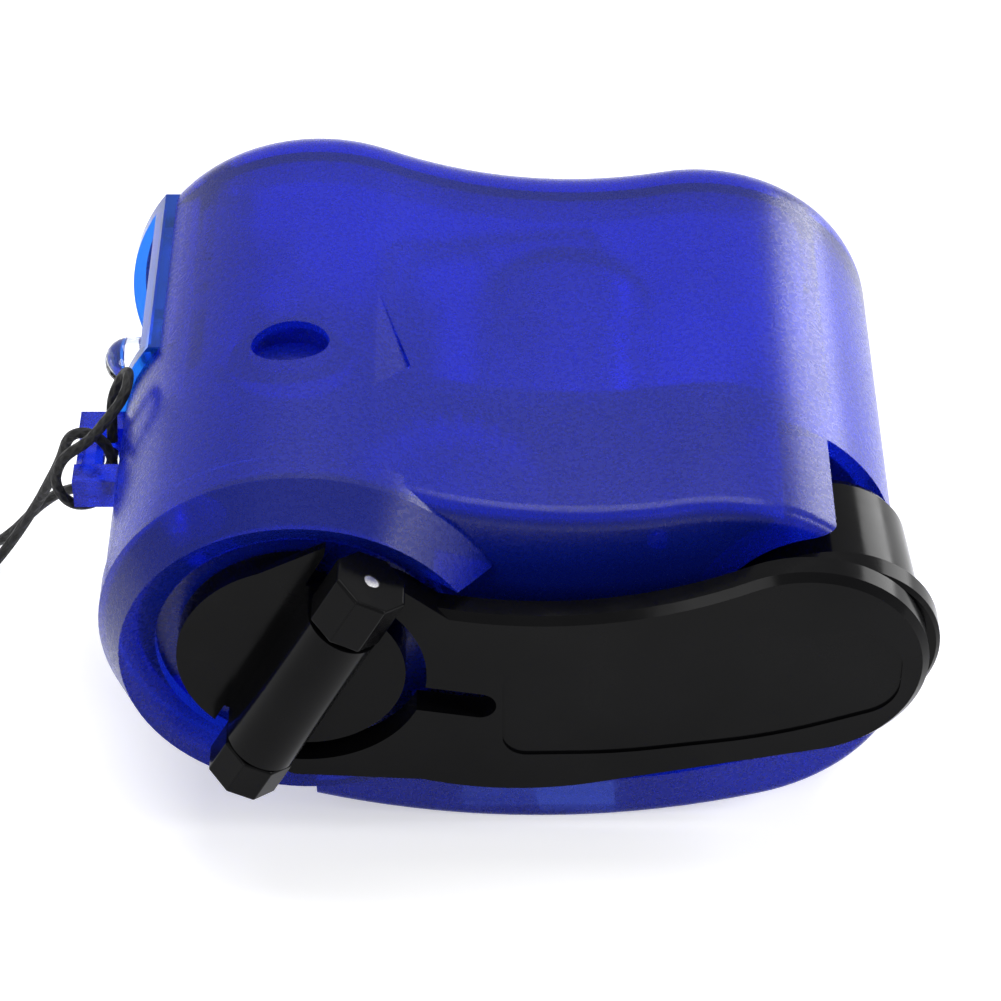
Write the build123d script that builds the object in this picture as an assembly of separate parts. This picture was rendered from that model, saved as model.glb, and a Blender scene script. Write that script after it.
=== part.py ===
"""A hand crank phone charger: a bean-shaped case with a folding crank stowed against its front.

Millimetres. While modelling, the origin is the centre of the crank's hub: X runs along the case,
Y runs from the crank into the case and Z is up. At the end everything moves to the point under
the middle of the case and crank, on the surface that the case lies on.
"""

from build123d import *
import math
import os

# ---- case ----
LEFT_R = 19.6           # round end about the hub
RIGHT = (39.2, -3.2)    # centre of the other round end
RIGHT_R = 18.8
WAIST_R = 48.0          # hollow on top
BELLY_R = 74.0          # bulge underneath
REST_DEPTH = 0.4        # flat that the case lies on
WALL = 2.0
FACE_Y = 4.5            # front face behind the arm
SEAM_Y = 54.0           # joint between shell and cover
BACK_Y = 60.0
BACK_ROUND = 5.5
COVER_POST_R = 2.6
COVER_SCREW_SUNK = 2.5
COVER_SCREW_DEPTH = 8.0
FRONT_ROUND = 1.7
FIT = 0.1               # gap between pieces that are fixed to each other
RUN = 0.06              # gap round a shaft that turns
CLEAR = 0.5             # gap round a moving piece

# ---- collar round the hub, and lip under the arm ----
COLLAR_PROUD = 0.2      # how far the collar stands out from the round end
COLLAR_R = LEFT_R + COLLAR_PROUD
COLLAR_EDGE_Y = 4.1
RIM_R = 17.5
RIM_Y = -0.3
BOWL_R = 14.2
BOWL_Y = 1.8
BOWL_FLOOR_Y = 3.2
COLLAR_BACK_Y = 7.2
BAY = (24.0, 40.0)      # centre of the arc that bounds the arm's bay below
BAY_R = 58.8
BEAK = (12.0, 10.2)     # upper end of the bay, where the collar stops
BEAK_END = (20.5, 7.6)
BAY_START_X = 2.6
LIP_Y = 1.5
LIP_START_X = 0.5
LIP_ROUND = 1.2
LIP_GAP = 2.8            # between lip and grip

# ---- crank ----
TILT = 27.5             # lean of the fold axis from upright
FOLD_Y = -3.0           # depth of the fold axis
BARREL_R = 3.6
BARREL_HALF = 9.0
KNUCKLE_GAP = 0.3
KNUCKLE_END = 15.2       # upper end of the hinge, along the fold axis
KNUCKLE_LOW = 13.7       # lower end
KNUCKLE_R = 3.75
HINGE_PIN_R = 0.75
HUB_BIG_R = 12.05
HUB_SMALL_R = 9.8
HUB_STEP_Y = -1.5
HUB_BACK_Y = 2.5
WING_TIP = (2.7, 14.9)
WING_ROOT = (-6.3, 10.1)
WING_T = 0.8
REACH = 50.2            # hub to grip, along X
RISE = 0.5
ARM_FRONT_Y = -1.9
ARM_BACK_Y = 0.8
ARM_BEVEL = 0.7
ARM_END_R = 12.1
ARM_END = (REACH - 2.9, RISE + 0.3)
ARM_TOP_START = (12.9, 8.3)
ARM_TOP_R = 43.2        # hollow top edge, which runs into the round end
ARM_LOW_SLOPE = 12.5
ARM_LOW_X = 28.0
ARM_LOW_START = (8.5, -14.5)
ARM_LOW_TURN = (-1.3, -13.9)
ARM_HOLE_R = 11.8       # round cut-out about the hub
SLOT_START = (9.0, -2.9)
SLOT_END = (16.8, -4.3)
SLOT_W = 3.2
PANEL_DEPTH = 0.25
PANEL_LEFT = 19.0
PANEL_BEND = 50.0

# ---- grip ----
FLANGE_R = 10.5
FLANGE_T = 2.8
FLANGE_GAP = 0.3
GRIP_BASE_R = 9.2
GRIP_TIP_R = 8.4
GRIP_END_Y = 17.3
GRIP_NOSE = 2.0
GRIP_PIN_R = 2.0
GRIP_PIN_HEAD_R = 2.6
GRIP_PIN_NECK_Y = 11.0
GRIP_PIN_END_Y = 13.5
POCKET_R = 11.4
POCKET_WALL = 1.5
POCKET_END_Y = 18.2

# ---- gears ----
MODULE = 0.6
DRIVE_TEETH = 40
PINION_A_TEETH = 10
WHEEL_A_TEETH = 33
PINION_B_TEETH = 11
WHEEL_B_TEETH = 30
ROTOR_TEETH = 10
TOOTH_SHARE = 0.40      # tooth width as a share of the pitch, the rest is play
GEAR_T = 3.6
GEAR_STEP = 4.4
GEAR_START_Y = 8.3
AXLE_A_ANGLE = -42.8
GENERATOR = (25.5, 1.0)
PLATE_T = 1.2
REAR_PLATE_Y = 22.2
REAR_PLATE_T = 2.0
SHAFT_R = 2.5
AXLE_R = 0.9
POST_R = 1.7
POSTS = ((-10.4, 10.4), (-10.4, -10.4), (28.0, -15.0), (33.6, 10.8))
SCREW_R = 0.9
SCREW_HEAD_R = 1.7
SCREW_HEAD_T = 1.2

# ---- generator ----
CAN_R = 9.6
CAN_WALL = 0.8
CAN_LENGTH = 22.0
CAP_T = 3.5
ROTOR_R = 6.6
MAGNET_T = 1.6
ROTOR_SHAFT_R = 1.0
WIRE_R = 0.5
WIRE_BEND = 1.0

# ---- left end: USB socket, LED, lanyard eye ----
SURROUND_Y = (31.4, 56.2)
SURROUND_Z = (-7.6, 12.4)
SURROUND_PROUD = 0.9
SURROUND_RIM = 1.5
SURROUND_SET_IN = 4.2
SURROUND_PLATE_X = SURROUND_SET_IN - LEFT_R
USB_WIDE = 13.1
USB_TALL = 5.7
USB_DEEP = 14.0
USB_SHELL_T = 0.35
USB_CENTRE = (48.6, 3.2)
LED_R = 2.5
LED_CENTRE = (38.8, 4.2)
LED_PROUD = 2.3
LED_TIP_X = -LEFT_R - LED_PROUD
EYE_Y = (20.5, 31.0)
EYE_Z = 2.5
EYE_PROUD = 4.0
EYE_OUT_X = -LEFT_R - EYE_PROUD
EYE_THICK = 2.6

# ---- circuit board ----
BOARD_T = 1.4
BOARD_TOP_Z = -0.9
BOARD_FROM_PLATE = 2.2          # from the middle of the socket's end plate to the board
BOARD_X = (SURROUND_PLATE_X + BOARD_FROM_PLATE, 12.0)
BOARD_Y = (30.6, 53.2)
BOARD_POST_INSET = 3.7          # of the post next to the end plate
BOARD_POSTS = ((BOARD_X[0] + BOARD_POST_INSET, 33.2), (8.6, 33.2), (3.4, 49.6))
BOARD_POST_R = 1.9
BOARD_SCREW_DEPTH = 4.8
CAPACITOR = (3.4, 38.6)
CAPACITOR_R = 3.2
CAPACITOR_TALL = 8.0
CAPACITOR_ROUND = 0.5
INDUCTOR = (8.2, 44.2)
INDUCTOR_R = 2.9
INDUCTOR_BORE_R = 1.2
INDUCTOR_TALL = 3.0
CHIP = (-4.6, 36.6)
CHIP_SIZE = (4.0, 5.0, 1.6)

# ---- top of the case ----
TOP_HOLE = (-1.5, 24.0)
TOP_HOLE_SIZE = (7.6, 5.8)
TOP_HOLE_DEPTH = 2.8
MARK = ((5.6, 36.5), (10.1, 23.1), (6.1, 18.0))
MARK_DEPTH = 0.35

# ---- lanyard ----
CORD_R = 0.55
CORD_END_A = (-47.5, 44.2)      # where the cord joins its coil, seen from above
COIL_CENTRE = (-47.5, 36.5)
COIL_TURNS = 2.5                # spiral turns in each of the two layers
COIL_PITCH = 1.76


def slab(shape, front, back):
    """A flat shape drawn in X and Z, as a solid from one depth to another."""
    return extrude(Plane.XZ.offset(-front) * shape, amount=front - back)


def round_bar(centre, radius, front, back):
    return slab(Pos(*centre) * Circle(radius), front, back)


def tube(centre, outer, inner, front, back):
    return round_bar(centre, outer, front, back) - round_bar(centre, inner, front - 1, back + 1)


def turned(points, centre=(0, 0)):
    """A profile of radius and depth, turned about an axis along Y."""
    profile = make_face(Polyline(*points, close=True))
    return Pos(centre[0], 0, centre[1]) * revolve(profile, axis=Axis.Y)


def at_angle(centre, radius, degrees):
    turn = math.radians(degrees)
    return (centre[0] + radius * math.cos(turn), centre[1] + radius * math.sin(turn))


def angle_of(start, end):
    return math.degrees(math.atan2(end[1] - start[1], end[0] - start[0]))


def arc(centre, radius, start, end):
    middle = (start + end) / 2
    return ThreePointArc(*(at_angle(centre, radius, a) for a in (start, middle, end)))


def crossing(first, first_r, second, second_r, side=1):
    """Where two circles cross, on the left of the line from first to second for side 1."""
    dx = second[0] - first[0]
    dz = second[1] - first[1]
    span = math.hypot(dx, dz)
    along = (first_r**2 - second_r**2 + span**2) / (2 * span)
    off = side * math.sqrt(first_r**2 - along**2)
    return (first[0] + (along * dx - off * dz) / span, first[1] + (along * dz + off * dx) / span)


HUB = (0.0, 0.0)
GRIP = (REACH, RISE)
WAIST = crossing(HUB, LEFT_R + WAIST_R, RIGHT, RIGHT_R + WAIST_R)
BELLY = crossing(HUB, BELLY_R - LEFT_R, RIGHT, BELLY_R - RIGHT_R)
REST_Z = BELLY[1] - BELLY_R + REST_DEPTH


def outline(inset=0.0):
    """The bean shape of the case, drawn in by inset."""
    left_top = angle_of(HUB, WAIST)
    left_low = angle_of(BELLY, HUB) + 360
    right_low = angle_of(BELLY, RIGHT) + 360
    right_top = angle_of(RIGHT, WAIST)
    return make_face([
        arc(HUB, LEFT_R - inset, left_top, left_low),
        arc(BELLY, BELLY_R - inset, left_low, right_low),
        arc(RIGHT, RIGHT_R - inset, right_low - 360, right_top),
        arc(WAIST, WAIST_R + inset, right_top + 180, left_top + 180),
    ])


def pocket_shape(grow=0.0):
    """The grip's pocket, round on the left and open to the right."""
    radius = POCKET_R + grow
    run = RIGHT[0] + RIGHT_R + 5 - GRIP[0]
    return Pos(*GRIP) * (Circle(radius) + Pos(run / 2, 0) * Rectangle(run, 2 * radius))


def bay_shape():
    """The front region that the stowed arm lies in, right of the collar."""
    far = RIGHT[0] + RIGHT_R + 10
    low = -2 * LEFT_R
    edge = Polyline(BEAK, BEAK_END, (far, BEAK_END[1]), (far, low), (BAY_START_X, low),
                    (BAY_START_X, RIM_R - BEAK[0] - BOWL_R), (HUB_SMALL_R, 0), close=True)
    return make_face(edge) & (Pos(*BAY) * Circle(BAY_R))


def on_fold(along, across):
    """A point in X and Z from its distance along the fold axis and across it."""
    lean = math.radians(TILT)
    return (along * math.sin(lean) + across * math.cos(lean),
            along * math.cos(lean) - across * math.sin(lean))


def fold_plane(along):
    """The plane square to the fold axis."""
    lean = math.radians(TILT)
    across = (math.cos(lean), 0, -math.sin(lean))
    return Plane(origin=(0, FOLD_Y, 0), x_dir=across, z_dir=(math.sin(lean), 0, math.cos(lean))).offset(along)


def fold_bar(radius, low, high):
    """A round bar along the fold axis."""
    return extrude(fold_plane(low) * Circle(radius), amount=high - low)


def knuckle(low, high):
    """An eight-sided bar along the fold axis, with softened edges."""
    bar = extrude(fold_plane(low) * RegularPolygon(KNUCKLE_R, 8, rotation=22.5), amount=high - low)
    return fillet(bar.edges(), 0.3)


def fold_box(low, high, half, front, back):
    """A box along the fold axis, half wide each side of it."""
    corners = [on_fold(low, -half), on_fold(low, half), on_fold(high, half), on_fold(high, -half)]
    return slab(make_face(Polyline(*corners, close=True)), front, back)


# ---- case ----

def collar():
    ring = turned([(0, BOWL_FLOOR_Y), (BOWL_R, BOWL_FLOOR_Y), (BOWL_R, BOWL_Y), (RIM_R, RIM_Y),
                   (COLLAR_R, COLLAR_EDGE_Y), (COLLAR_R, COLLAR_BACK_Y), (0, COLLAR_BACK_Y)])
    bay = slab(bay_shape() - Circle(BOWL_R), RIM_Y - 1, FACE_Y)
    return ring - bay


def lip():
    """The rim under the stowed arm, standing in front of the face and tapering to its right end."""
    width = 4 * RIGHT_R
    strip = outline() & (Pos(LIP_START_X + width / 2, -RIGHT_R) * Rectangle(width, 2 * RIGHT_R))
    strip -= Pos(*BAY) * Circle(BAY_R)
    strip -= Pos(*GRIP) * Circle(FLANGE_R + LIP_GAP)
    body = slab(strip, LIP_Y, FACE_Y + FRONT_ROUND + 0.2)
    low_edges = [e for e in body.edges().group_by(Axis.Y)[0] if (e @ 0.5).Z < (BAY[1] - BAY_R)]
    return fillet(low_edges, LIP_ROUND)


def case_body():
    """The outer form of the shell, before it is hollowed."""
    block = slab(outline(), FACE_Y, SEAM_Y)
    block = fillet(block.faces().sort_by(Axis.Y)[0].edges(), FRONT_ROUND)
    return block + collar() + lip()


def rest_cut():
    """What is cut away below the flat that the case lies on."""
    return Pos(BELLY[0], BACK_Y / 2, REST_Z - 10) * Box(4 * LEFT_R, 2 * BACK_Y, 20)


def top_recess():
    centre = (TOP_HOLE[0], TOP_HOLE[1], LEFT_R - TOP_HOLE_DEPTH)
    return Pos(*centre) * extrude(Ellipse(TOP_HOLE_SIZE[0] / 2, TOP_HOLE_SIZE[1] / 2), amount=10)


def top_boss():
    size = (TOP_HOLE_SIZE[0] + 2 * WALL, TOP_HOLE_SIZE[1] + 2 * WALL)
    depth = TOP_HOLE_DEPTH + 1.2
    centre = (TOP_HOLE[0], TOP_HOLE[1], LEFT_R - depth)
    boss = Pos(*centre) * extrude(Ellipse(size[0] / 2, size[1] / 2), amount=depth)
    return boss & slab(outline(WALL / 2), 0, SEAM_Y)


def waist_z(x):
    return WAIST[1] - math.sqrt(WAIST_R**2 - (x - WAIST[0])**2)


def top_mark():
    """A shallow moulded wedge on top, deepest at its right edges."""
    left = MARK[0][0]
    right = MARK[1][0]
    slope = Polyline((left, waist_z(left)), (right, waist_z(right) - MARK_DEPTH), (right, LEFT_R + 2),
                     (left, LEFT_R + 2), close=True)
    wedge = slab(make_face(slope), MARK[2][1] - 1, MARK[0][1] + 1)
    return wedge & extrude(make_face(Polyline(*MARK, close=True)), amount=LEFT_R + 5)


def cover_screw_spots():
    inset = WALL + COVER_POST_R - 0.2
    right_r = RIGHT_R - inset
    left_r = LEFT_R - inset
    return (at_angle(HUB, left_r, 128), at_angle(HUB, left_r, 222), at_angle(RIGHT, right_r, 50),
            at_angle(RIGHT, right_r, -55))


def lanyard_eye():
    """A staple-shaped bar on the left end."""
    bar_y = (EYE_Y[0] + EYE_Y[1]) / 2
    length = EYE_Y[1] - EYE_Y[0]
    root = -LEFT_R + WALL / 2
    bar = Pos(EYE_OUT_X + EYE_THICK / 2, bar_y, EYE_Z) * Box(EYE_THICK, length, EYE_THICK)
    bar = chamfer(bar.edges().filter_by(Axis.Y), EYE_THICK / 4)
    for y in EYE_Y:
        side = 1 if y < bar_y else -1
        leg = Box(root - EYE_OUT_X, EYE_THICK, EYE_THICK + 0.8)
        bar += Pos((root + EYE_OUT_X) / 2, y + side * EYE_THICK / 2, EYE_Z) * leg
    return bar


def surround_box(shrink, deep):
    """The block of space that the socket's surround fills."""
    wide = SURROUND_Y[1] - SURROUND_Y[0] - 2 * shrink
    tall = SURROUND_Z[1] - SURROUND_Z[0] - 2 * shrink
    centre = (-LEFT_R, (SURROUND_Y[0] + SURROUND_Y[1]) / 2, (SURROUND_Z[0] + SURROUND_Z[1]) / 2)
    return Pos(*centre) * Box(deep, wide, tall)


def board_post(spot):
    floor_z = -2 * LEFT_R
    height = BOARD_TOP_Z - BOARD_T - floor_z
    post = Pos(spot[0], spot[1], floor_z) * extrude(Circle(BOARD_POST_R), amount=height)
    return post & slab(outline(WALL / 2), 0, SEAM_Y)


def main_shell():
    shell = case_body()
    shell -= slab(outline(WALL), FACE_Y + WALL, SEAM_Y + 1)
    pocket_back = POCKET_END_Y + POCKET_WALL
    shell += slab(pocket_shape(POCKET_WALL) & outline(WALL / 2), FACE_Y + WALL / 2, pocket_back)
    shell -= slab(pocket_shape(), -20, POCKET_END_Y)
    post_start = REAR_PLATE_Y + REAR_PLATE_T + SCREW_HEAD_T + FIT
    for spot in cover_screw_spots():
        shell += round_bar(spot, COVER_POST_R, post_start, SEAM_Y) & slab(outline(WALL / 2), 0, SEAM_Y)
        shell -= round_bar(spot, SCREW_R + FIT, SEAM_Y - COVER_SCREW_DEPTH - 2, SEAM_Y + 1)
    for spot in BOARD_POSTS:
        shell += board_post(spot)
        shell -= Pos(spot[0], spot[1], BOARD_TOP_Z - 6) * Cylinder(SCREW_R + FIT, 12)
    for spot in POSTS:
        shell -= round_bar(spot, SCREW_R + FIT, FACE_Y + WALL / 2 - 0.2, FACE_Y + WALL + 1)
    shell += top_boss()
    shell -= top_recess()
    shell -= top_mark()
    shell += lanyard_eye()
    shell -= round_bar(HUB, SHAFT_R + 1.5 + FIT, BOWL_FLOOR_Y - 1, FACE_Y + WALL + 1)
    shell -= surround_box(-FIT, 16)
    return shell - rest_cut()


def rear_cover():
    cover = slab(outline(), SEAM_Y, BACK_Y)
    cover = fillet(cover.faces().sort_by(Axis.Y)[-1].edges(), BACK_ROUND)
    tongue = slab(outline(WALL + FIT) - outline(WALL + FIT + 1.0), SEAM_Y - 2, SEAM_Y + 1)
    tongue -= surround_box(-CLEAR, 16)
    cover -= slab(outline(WALL + 1.1), SEAM_Y - 1, BACK_Y - WALL)
    for spot in cover_screw_spots():
        cover += round_bar(spot, COVER_POST_R, SEAM_Y, BACK_Y - WALL / 2)
        tongue -= round_bar(spot, COVER_POST_R + FIT, SEAM_Y - 3, SEAM_Y + FIT)
    cover += tongue
    for spot in cover_screw_spots():
        cover -= round_bar(spot, SCREW_R + FIT, SEAM_Y - 3, BACK_Y + 1)
        cover -= round_bar(spot, SCREW_HEAD_R + FIT, BACK_Y - COVER_SCREW_SUNK, BACK_Y + 1)
    cover -= surround_box(-FIT, 16)
    return cover - rest_cut()


def screw(centre, head_front, tip):
    """A pan-head screw along Y, its head starting at head_front and its end at tip."""
    way = 1 if tip > head_front else -1
    neck = head_front + way * SCREW_HEAD_T
    head = round_bar(centre, SCREW_HEAD_R, min(head_front, neck), max(head_front, neck))
    shank = round_bar(centre, SCREW_R, min(neck, tip), max(neck, tip))
    cross = Rectangle(2.0, 0.45) + Rectangle(0.45, 2.0)
    slot_end = head_front + way * 0.5
    slot = slab(Pos(*centre) * cross, min(head_front, slot_end), max(head_front, slot_end))
    return head + shank - slot


def cover_screws():
    head = BACK_Y - COVER_SCREW_SUNK + SCREW_HEAD_T
    return [screw(spot, head, SEAM_Y - COVER_SCREW_DEPTH) for spot in cover_screw_spots()]


# ---- left end ----

def usb_space(grow):
    """The block that the USB socket fills, from the end plate inwards."""
    centre = (SURROUND_PLATE_X - 1 + USB_DEEP / 2, *USB_CENTRE)
    return Pos(*centre) * Box(USB_DEEP, USB_WIDE + 2 * grow, USB_TALL + 2 * grow)


def usb_surround():
    """The raised frame round the socket, with the plate that the socket and the LED come through."""
    middle_y = (SURROUND_Y[0] + SURROUND_Y[1]) / 2
    half = (SURROUND_Y[1] - SURROUND_Y[0]) / 2
    ring = tube(HUB, LEFT_R + SURROUND_PROUD, LEFT_R - WALL, middle_y - half, middle_y + half)
    ring = ring & surround_box(0, 16)
    frame = ring - surround_box(SURROUND_RIM, 30)
    plate = surround_box(0, 16) & (Pos(SURROUND_PLATE_X, middle_y, 0) * Box(1.6, 4 * half, 4 * half))
    plate = plate & slab(Circle(LEFT_R), 0, BACK_Y)
    body = frame + plate
    body -= usb_space(FIT)
    return body - led_space(FIT)


def usb_shell():
    inner = Pos(-USB_SHELL_T, 0, 0) * usb_space(-USB_SHELL_T)
    shell = usb_space(0) - inner
    window = Pos(SURROUND_PLATE_X + USB_DEEP / 2, USB_CENTRE[0], USB_CENTRE[1] + USB_TALL / 2)
    for side in (-1, 1):
        shell -= window * Pos(0, side * USB_WIDE / 4, 0) * Box(3.0, 1.6, 3 * USB_SHELL_T)
    return shell


def usb_tongue():
    back = Pos(SURROUND_PLATE_X - 1 + USB_DEEP - USB_SHELL_T - 1.5 - FIT, *USB_CENTRE)
    block = back * Box(3.0, USB_WIDE - 2 * USB_SHELL_T - 2 * FIT, USB_TALL - 2 * USB_SHELL_T - 2 * FIT)
    blade = Pos(SURROUND_PLATE_X + USB_DEEP / 2 - 1, USB_CENTRE[0], USB_CENTRE[1] + 1.0)
    return block + blade * Box(USB_DEEP - 4, USB_WIDE - 3.0, 1.8)


def usb_contacts():
    strips = []
    for step in (-1.5, -0.5, 0.5, 1.5):
        place = Pos(SURROUND_PLATE_X + USB_DEEP / 2 - 1.5, USB_CENTRE[0] + step * 2.3, USB_CENTRE[1] - 0.02)
        strips.append(place * Box(USB_DEEP - 6, 1.0, 0.24))
    return strips


def led_bar(radius, start, end):
    plane = Plane(origin=(start, *LED_CENTRE), z_dir=(1, 0, 0))
    return extrude(plane * Circle(radius), amount=end - start)


def led_space(grow):
    return led_bar(LED_R + grow, LED_TIP_X, SURROUND_PLATE_X + 3)


def led_lens():
    """A round LED with its domed end outwards and its rim behind the plate."""
    neck = LED_TIP_X + LED_R
    rim = SURROUND_PLATE_X + 0.8 + FIT
    dome = Pos(neck, *LED_CENTRE) * Sphere(LED_R)
    return led_bar(LED_R, neck, rim) + dome + led_bar(LED_R + 0.4, rim, rim + 1.0)


def led_leads():
    start = SURROUND_PLATE_X + 1.9 + FIT
    legs = []
    for side, reach in ((-1, 2.6), (1, 4.6)):
        y = LED_CENTRE[0] + side * 1.27
        low = BOARD_TOP_Z
        out = Pos(start + reach / 2, y, LED_CENTRE[1]) * Box(reach, 0.5, 0.5)
        down = Pos(start + reach - 0.25, y, (low + LED_CENTRE[1] - 0.25) / 2)
        legs.append(out + down * Box(0.5, 0.5, LED_CENTRE[1] - 0.25 - low))
    return legs


# ---- crank ----

def knuckle_start():
    return BARREL_HALF + KNUCKLE_GAP


def right_half(front, back):
    """The space on the arm's side of the fold axis."""
    corners = [on_fold(-30, 0), on_fold(-30, 30), on_fold(30, 30), on_fold(30, 0)]
    return slab(make_face(Polyline(*corners, close=True)), front, back)


def crank_hub():
    """The black disc with the barrel of the fold hinge across it."""
    disc = round_bar(HUB, HUB_BIG_R, 0, HUB_BACK_Y) - right_half(-1, HUB_BACK_Y + 1)
    disc += round_bar(HUB, HUB_SMALL_R, HUB_STEP_Y, HUB_BACK_Y) & right_half(HUB_STEP_Y - 1, HUB_BACK_Y + 1)
    disc += slab(make_face(Polyline(WING_ROOT, WING_TIP, (0, 0), close=True)), 0, WING_T)
    disc += fold_box(-BARREL_HALF, BARREL_HALF, BARREL_R, FOLD_Y, 1)
    for side in (-1, 1):
        ends = sorted((side * (BARREL_HALF + KNUCKLE_GAP / 2), side * 20))
        disc -= fold_box(*ends, BARREL_R + CLEAR, -8, BARREL_R + 4)
    disc += fold_bar(BARREL_R, -BARREL_HALF, BARREL_HALF)
    disc -= fold_bar(HINGE_PIN_R + RUN, -BARREL_HALF - 1, BARREL_HALF + 1)
    return disc - round_bar(HUB, SHAFT_R + 0.02, 1.4, HUB_BACK_Y + 1)


def hinge_pin():
    return fold_bar(HINGE_PIN_R, -KNUCKLE_LOW + 0.3, KNUCKLE_END - 0.1)


def arm_outline():
    """The arm seen from the front, from the knuckles to the round end."""
    top_start = on_fold(KNUCKLE_END - 0.9, 0)
    top_side = on_fold(KNUCKLE_END - 0.9, BARREL_R)
    low_side = on_fold(-KNUCKLE_LOW + 0.9, 0)
    top_centre = crossing(ARM_TOP_START, ARM_TOP_R, ARM_END, ARM_TOP_R + ARM_END_R)
    touch = angle_of(ARM_END, top_centre)
    low = ARM_LOW_SLOPE - 90
    low_touch = at_angle(ARM_END, ARM_END_R, low)
    run = (low_touch[0] - ARM_LOW_X) / math.cos(math.radians(ARM_LOW_SLOPE))
    low_end = at_angle(low_touch, run, ARM_LOW_SLOPE + 180)
    back = (low_end[0] - low_touch[0], low_end[1] - low_touch[1])
    return make_face([
        Line(top_start, top_side),
        Line(top_side, ARM_TOP_START),
        arc(top_centre, ARM_TOP_R, angle_of(top_centre, ARM_TOP_START), touch - 180),
        arc(ARM_END, ARM_END_R, touch, low),
        Line(low_touch, low_end),
        TangentArc(low_end, ARM_LOW_START, tangent=back),
        Line(ARM_LOW_START, ARM_LOW_TURN),
        Line(ARM_LOW_TURN, low_side),
        Line(low_side, top_start),
    ])


def panel_outline():
    """The shallow panel in the face of the arm."""
    far = ARM_END[0] + ARM_END_R - 2.6
    face = make_face(Polyline((PANEL_LEFT, 0.6), (PANEL_LEFT, -11.2), (30.0, -11.0), (REACH - 5, -8.6),
                              (far, -4.2), (far, 5.8), (REACH - 9, 3.8), (30.0, 1.2), close=True))
    bends = [v for v in face.vertices() if PANEL_LEFT + 1 < v.X < far - 1]
    face = fillet(bends, PANEL_BEND)
    soft = [v for v in face.vertices() if abs(v.X - PANEL_LEFT) < 0.1]
    face = fillet(soft, 2.4)
    round_end = [v for v in face.vertices() if abs(v.X - far) < 0.1]
    return fillet(round_end, 4.2)


def slot_shape():
    """The round-ended slot that runs from the cut-out into the arm."""
    run = math.dist(SLOT_START, SLOT_END)
    strip = Pos(run / 2, 0) * Rectangle(run, SLOT_W) + Pos(run, 0) * Circle(SLOT_W / 2)
    return Pos(*SLOT_START) * Rot(0, 0, angle_of(SLOT_START, SLOT_END)) * strip


def crank_arm():
    plate = slab(arm_outline(), ARM_FRONT_Y, ARM_BACK_Y)
    front = plate.faces().sort_by(Axis.Y)[0].edges()
    plate = chamfer([e for e in front if (e @ 0.5).X > ARM_TOP_START[0] - 1], ARM_BEVEL)
    plate -= round_bar(HUB, ARM_HOLE_R, -8, 4)
    plate -= slab(slot_shape(), -8, 4)
    plate -= slab(panel_outline(), ARM_FRONT_Y - 1, ARM_FRONT_Y + PANEL_DEPTH)
    plate += knuckle(knuckle_start(), KNUCKLE_END)
    plate += knuckle(-KNUCKLE_LOW, -knuckle_start())
    plate -= fold_box(-BARREL_HALF - 0.1, BARREL_HALF + 0.1, BARREL_R + CLEAR, -8, 4)
    plate -= fold_bar(HINGE_PIN_R + 0.01, -KNUCKLE_LOW + 0.3, KNUCKLE_END + 1)
    return plate - round_bar(GRIP, GRIP_PIN_R + 0.01, ARM_FRONT_Y + 1.0, ARM_BACK_Y + 1)


def grip():
    """The turned grip with its flange against the arm."""
    start = ARM_BACK_Y + FLANGE_GAP
    shoulder = start + FLANGE_T
    nose = GRIP_END_Y - GRIP_NOSE
    bore = GRIP_PIN_R + RUN
    room = GRIP_PIN_HEAD_R + 0.3
    body = turned([(0, start), (FLANGE_R - 0.4, start), (FLANGE_R, start + 0.4), (FLANGE_R, shoulder - 0.4),
                   (FLANGE_R - 0.4, shoulder), (GRIP_BASE_R + 0.6, shoulder), (GRIP_BASE_R, shoulder + 0.8),
                   (GRIP_TIP_R, nose), (GRIP_TIP_R - 0.5, nose + GRIP_NOSE * 0.5),
                   (GRIP_TIP_R - 1.8, nose + GRIP_NOSE * 0.86), (GRIP_TIP_R - 3.6, GRIP_END_Y),
                   (0, GRIP_END_Y)], GRIP)
    neck = GRIP_PIN_NECK_Y - FIT
    end = GRIP_PIN_END_Y + 0.6
    steps = [(0, start - 1), (bore, start - 1), (bore, neck), (room, neck), (room, end), (0, end)]
    return body - turned(steps, GRIP)


def grip_pin():
    return turned([(0, ARM_FRONT_Y + 1.0), (GRIP_PIN_R, ARM_FRONT_Y + 1.0), (GRIP_PIN_R, GRIP_PIN_NECK_Y),
                   (GRIP_PIN_HEAD_R, GRIP_PIN_NECK_Y), (GRIP_PIN_HEAD_R - 0.6, GRIP_PIN_END_Y),
                   (0, GRIP_PIN_END_Y)], GRIP)


# ---- gearbox ----

def pitch_r(teeth):
    return teeth * MODULE / 2


AXLE_A = at_angle(HUB, pitch_r(DRIVE_TEETH + PINION_A_TEETH), AXLE_A_ANGLE)
AXLE_B = crossing(AXLE_A, pitch_r(WHEEL_A_TEETH + PINION_B_TEETH),
                  GENERATOR, pitch_r(WHEEL_B_TEETH + ROTOR_TEETH))


def gear_face(teeth, phase):
    """A spur gear with short teeth; phase is the angle of one tooth's middle."""
    pitch = 360 / teeth
    points = []
    for index in range(teeth):
        middle = phase + index * pitch
        for radius, share in ((pitch_r(teeth) - 1.05 * MODULE, 0.62), (pitch_r(teeth), TOOTH_SHARE),
                              (pitch_r(teeth) + 0.8 * MODULE, 0.20)):
            points.append((radius, middle - share * pitch / 2))
        for radius, share in ((pitch_r(teeth) + 0.8 * MODULE, 0.20), (pitch_r(teeth), TOOTH_SHARE),
                              (pitch_r(teeth) - 1.05 * MODULE, 0.62)):
            points.append((radius, middle + share * pitch / 2))
    return make_face(Polyline(*(at_angle((0, 0), r, a) for r, a in points), close=True))


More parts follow.
